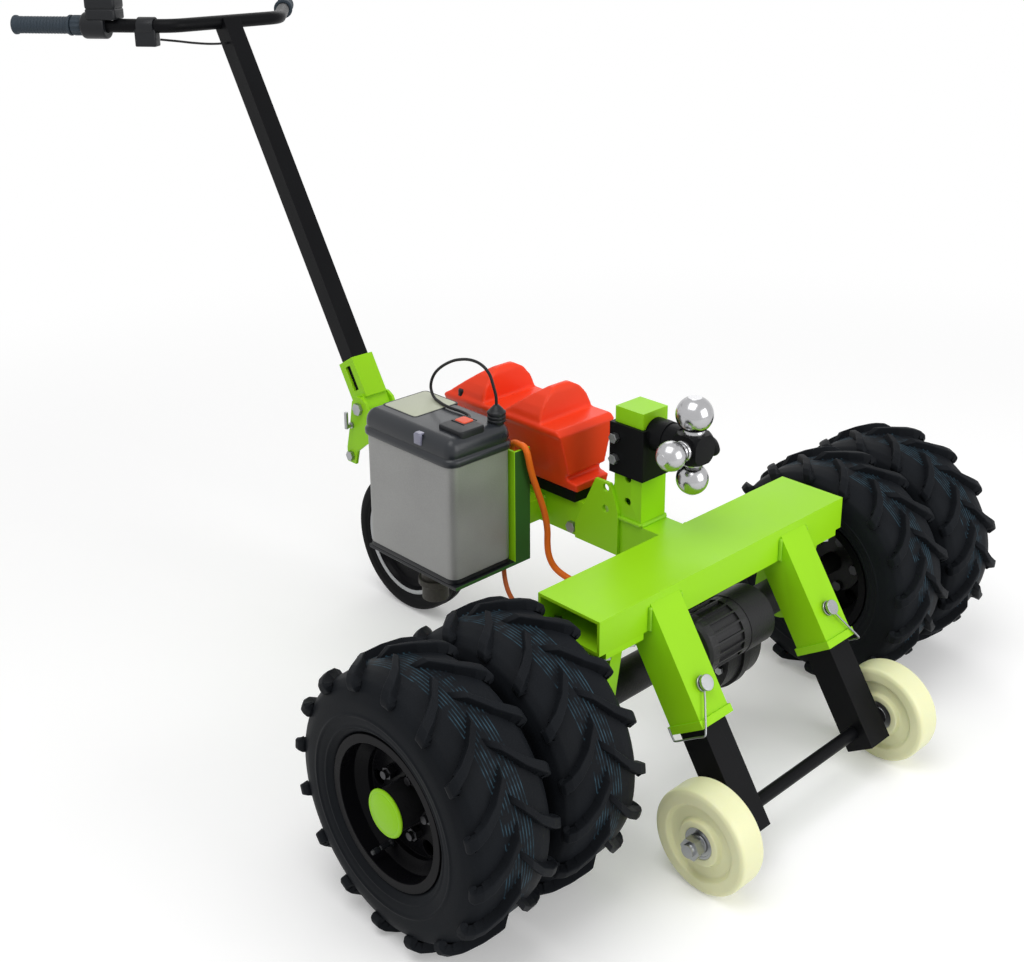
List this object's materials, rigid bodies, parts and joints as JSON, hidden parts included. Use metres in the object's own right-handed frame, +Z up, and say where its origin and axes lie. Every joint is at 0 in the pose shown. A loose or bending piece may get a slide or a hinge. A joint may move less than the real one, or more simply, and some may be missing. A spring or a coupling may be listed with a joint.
{
  "type": "electric tug",
  "caption": "Walk-behind electric tug with twin lug tyres, front support wheels, rear castor, ball hitch, lift-out battery and tilting steering handle.",
  "frame": {"origin": "on the floor, midway between the drive wheels and straight under their axle", "axes": "+X forward to the front support wheels, +Y to the machine's left along the drive axle, +Z up"},
  "size_m": [1.8183, 1.271, 1.1568],
  "materials": {
    "lime": "gloss paint",
    "black_paint": "satin paint",
    "dark_cast": "black painted casting",
    "motor_grey": "dark satin casting",
    "zinc": "zinc plated",
    "polished": "polished plating",
    "tyre_rubber": "matt rubber",
    "nylon": "satin cast nylon",
    "cover_red": "satin moulded plastic",
    "case_silver": "brushed",
    "black_plastic": "satin moulded plastic",
    "panel_grey": "clear grey plastic",
    "orange_sleeve": "flexible sleeve",
    "black_cable": "matt",
    "grip_blue": "matt rubber",
    "rim_grey": "moulded plastic"
  },
  "bodies": {
    "frame": {"cross_plate": "lime", "main_beam": "lime", "gusset_plates": "lime", "hitch_post": "lime", "leg_sleeves": "lime", "axle_brackets": "lime", "axle_housing": "dark_cast", "drive_motor": "motor_grey", "frame_bolts": "zinc", "battery_tray": "lime", "controller_base": "black_paint", "controller_cover": "cover_red", "handle_cheeks": "lime", "castor_mount": "zinc", "power_cables": "orange_sleeve"},
    "legs": {"support_legs": "black_paint", "support_rod": "zinc"},
    "left_front_wheel": {"left_support_wheel": "nylon", "left_bearings": "zinc"},
    "right_front_wheel": {"right_support_wheel": "nylon", "right_bearings": "zinc"},
    "left_pin": {"left_lock_pin": "zinc"},
    "right_pin": {"right_lock_pin": "zinc"},
    "left_pin_bail": {"left_bail": "zinc"},
    "right_pin_bail": {"right_bail": "zinc"},
    "carriage": {"hitch_carriage": "black_paint", "carriage_bolts": "zinc"},
    "tri_ball": {"hitch_head": "black_paint", "hitch_balls": "polished"},
    "castor": {"castor_fork": "black_paint", "castor_axle": "zinc"},
    "rear_wheel": {"rear_rim": "rim_grey", "rear_tyre": "tyre_rubber"},
    "battery": {"battery_case": "case_silver", "battery_lid": "black_plastic", "lid_panel": "panel_grey", "battery_plug": "black_cable"},
    "lock": {"tilt_pin": "zinc"},
    "handle": {"handle_socket": "lime", "handle_tube": "black_paint", "handlebar": "black_paint", "left_grip": "grip_blue", "control_pod": "black_plastic", "throttle_cable": "black_cable"},
    "throttle": {"twist_grip": "grip_blue"},
    "switch": {"direction_switch": "panel_grey"},
    "left_drive": {"left_axle": "zinc", "left_spacer": "black_paint", "left_studs": "zinc", "left_rims": "black_paint", "left_inner_tyre": "tyre_rubber", "left_outer_tyre": "tyre_rubber", "left_hub_cap": "lime"},
    "right_drive": {"right_axle": "zinc", "right_spacer": "black_paint", "right_studs": "zinc", "right_rims": "black_paint", "right_inner_tyre": "tyre_rubber", "right_outer_tyre": "tyre_rubber", "right_hub_cap": "lime"}
  },
  "joints": [
    {"name": "left_drive_spin", "type": "hinge", "parent": "frame", "child": "left_drive", "pos_m": [0, 0.396, 0.203], "axis": [0, 1, 0], "continuous": true},
    {"name": "right_drive_spin", "type": "hinge", "parent": "frame", "child": "right_drive", "pos_m": [0, -0.396, 0.203], "axis": [0, 1, 0], "continuous": true},
    {"name": "leg_slide", "type": "slide", "parent": "frame", "child": "legs", "axis": [0.5446, 0, -0.8387], "range_m": [0, 0.04]},
    {"name": "left_front_spin", "type": "hinge", "parent": "legs", "child": "left_front_wheel", "pos_m": [0.22793, 0.228, 0.08], "axis": [0, 1, 0], "continuous": true},
    {"name": "right_front_spin", "type": "hinge", "parent": "legs", "child": "right_front_wheel", "pos_m": [0.22793, -0.228, 0.08], "axis": [0, 1, 0], "continuous": true},
    {"name": "left_pin_slide", "type": "slide", "parent": "frame", "child": "left_pin", "axis": [0.8387, 0, 0.5446], "range_m": [0, 0.09]},
    {"name": "left_bail_swing", "type": "hinge", "parent": "left_pin", "child": "left_pin_bail", "pos_m": [0.12168, 0.157, 0.24361], "axis": [0.8387, 0, 0.5446], "range_deg": [0, 80]},
    {"name": "right_pin_slide", "type": "slide", "parent": "frame", "child": "right_pin", "axis": [0.8387, 0, 0.5446], "range_m": [0, 0.09]},
    {"name": "right_bail_swing", "type": "hinge", "parent": "right_pin", "child": "right_pin_bail", "pos_m": [0.12168, -0.157, 0.24361], "axis": [-0.8387, 0, -0.5446], "range_deg": [0, 80]},
    {"name": "carriage_height", "type": "slide", "parent": "frame", "child": "carriage", "axis": [0, 0, 1], "range_m": [-0.018, 0.018]},
    {"name": "ball_turn", "type": "hinge", "parent": "carriage", "child": "tri_ball", "pos_m": [-0.008, 0, 0.539], "axis": [1, 0, 0], "continuous": true},
    {"name": "castor_swivel", "type": "hinge", "parent": "frame", "child": "castor", "pos_m": [-0.655, 0, 0.3], "axis": [0, 0, 1], "continuous": true},
    {"name": "rear_spin", "type": "hinge", "parent": "castor", "child": "rear_wheel", "pos_m": [-0.697, 0, 0.14], "axis": [0, 1, 0], "continuous": true},
    {"name": "battery_lift", "type": "slide", "parent": "frame", "child": "battery", "axis": [0, 0, 1], "range_m": [0, 0.25]},
    {"name": "tilt_pin_slide", "type": "slide", "parent": "frame", "child": "lock", "axis": [0, -1, 0], "range_m": [0, 0.02]},
    {"name": "handle_tilt", "type": "hinge", "parent": "frame", "child": "handle", "pos_m": [-0.808, 0, 0.392], "axis": [0, 1, 0], "range_deg": [-30, 30]},
    {"name": "twist", "type": "hinge", "parent": "handle", "child": "throttle", "pos_m": [-1.25779, -0.14192, 1.09853], "axis": [-0.7986, -0.6018, 0], "range_deg": [0, 60], "stiffness_Nm_per_rad": 0.3},
    {"name": "rocker", "type": "hinge", "parent": "handle", "child": "switch", "pos_m": [-1.34524, -0.20782, 1.15003], "axis": [0.6018, -0.7986, 0], "range_deg": [-8, 8]}
  ]
}
